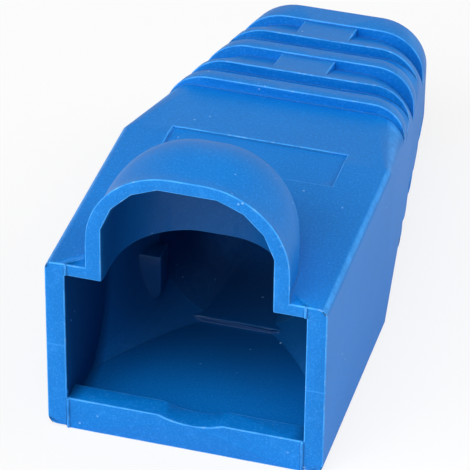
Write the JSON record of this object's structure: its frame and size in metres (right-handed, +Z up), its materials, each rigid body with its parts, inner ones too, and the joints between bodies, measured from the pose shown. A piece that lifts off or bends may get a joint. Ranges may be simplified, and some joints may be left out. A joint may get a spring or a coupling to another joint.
{
  "type": "rj45 strain relief boot",
  "caption": "Soft moulded boot for a modular network plug: open box socket, arched latch hood, flat label recess and a ribbed tail that tapers round the cable.",
  "frame": {"origin": "under the middle of the boot, on the flat face it lies on", "axes": "+Y along the cable, from the plug mouth to the tail end; +Z up, towards the latch hood; X across, the same both ways"},
  "size_m": [0.014, 0.0292, 0.0157],
  "materials": {
    "soft_pvc": "satin moulded PVC with a fine grain"
  },
  "bodies": {
    "root": {"boot": "soft_pvc"}
  },
  "joints": []
}
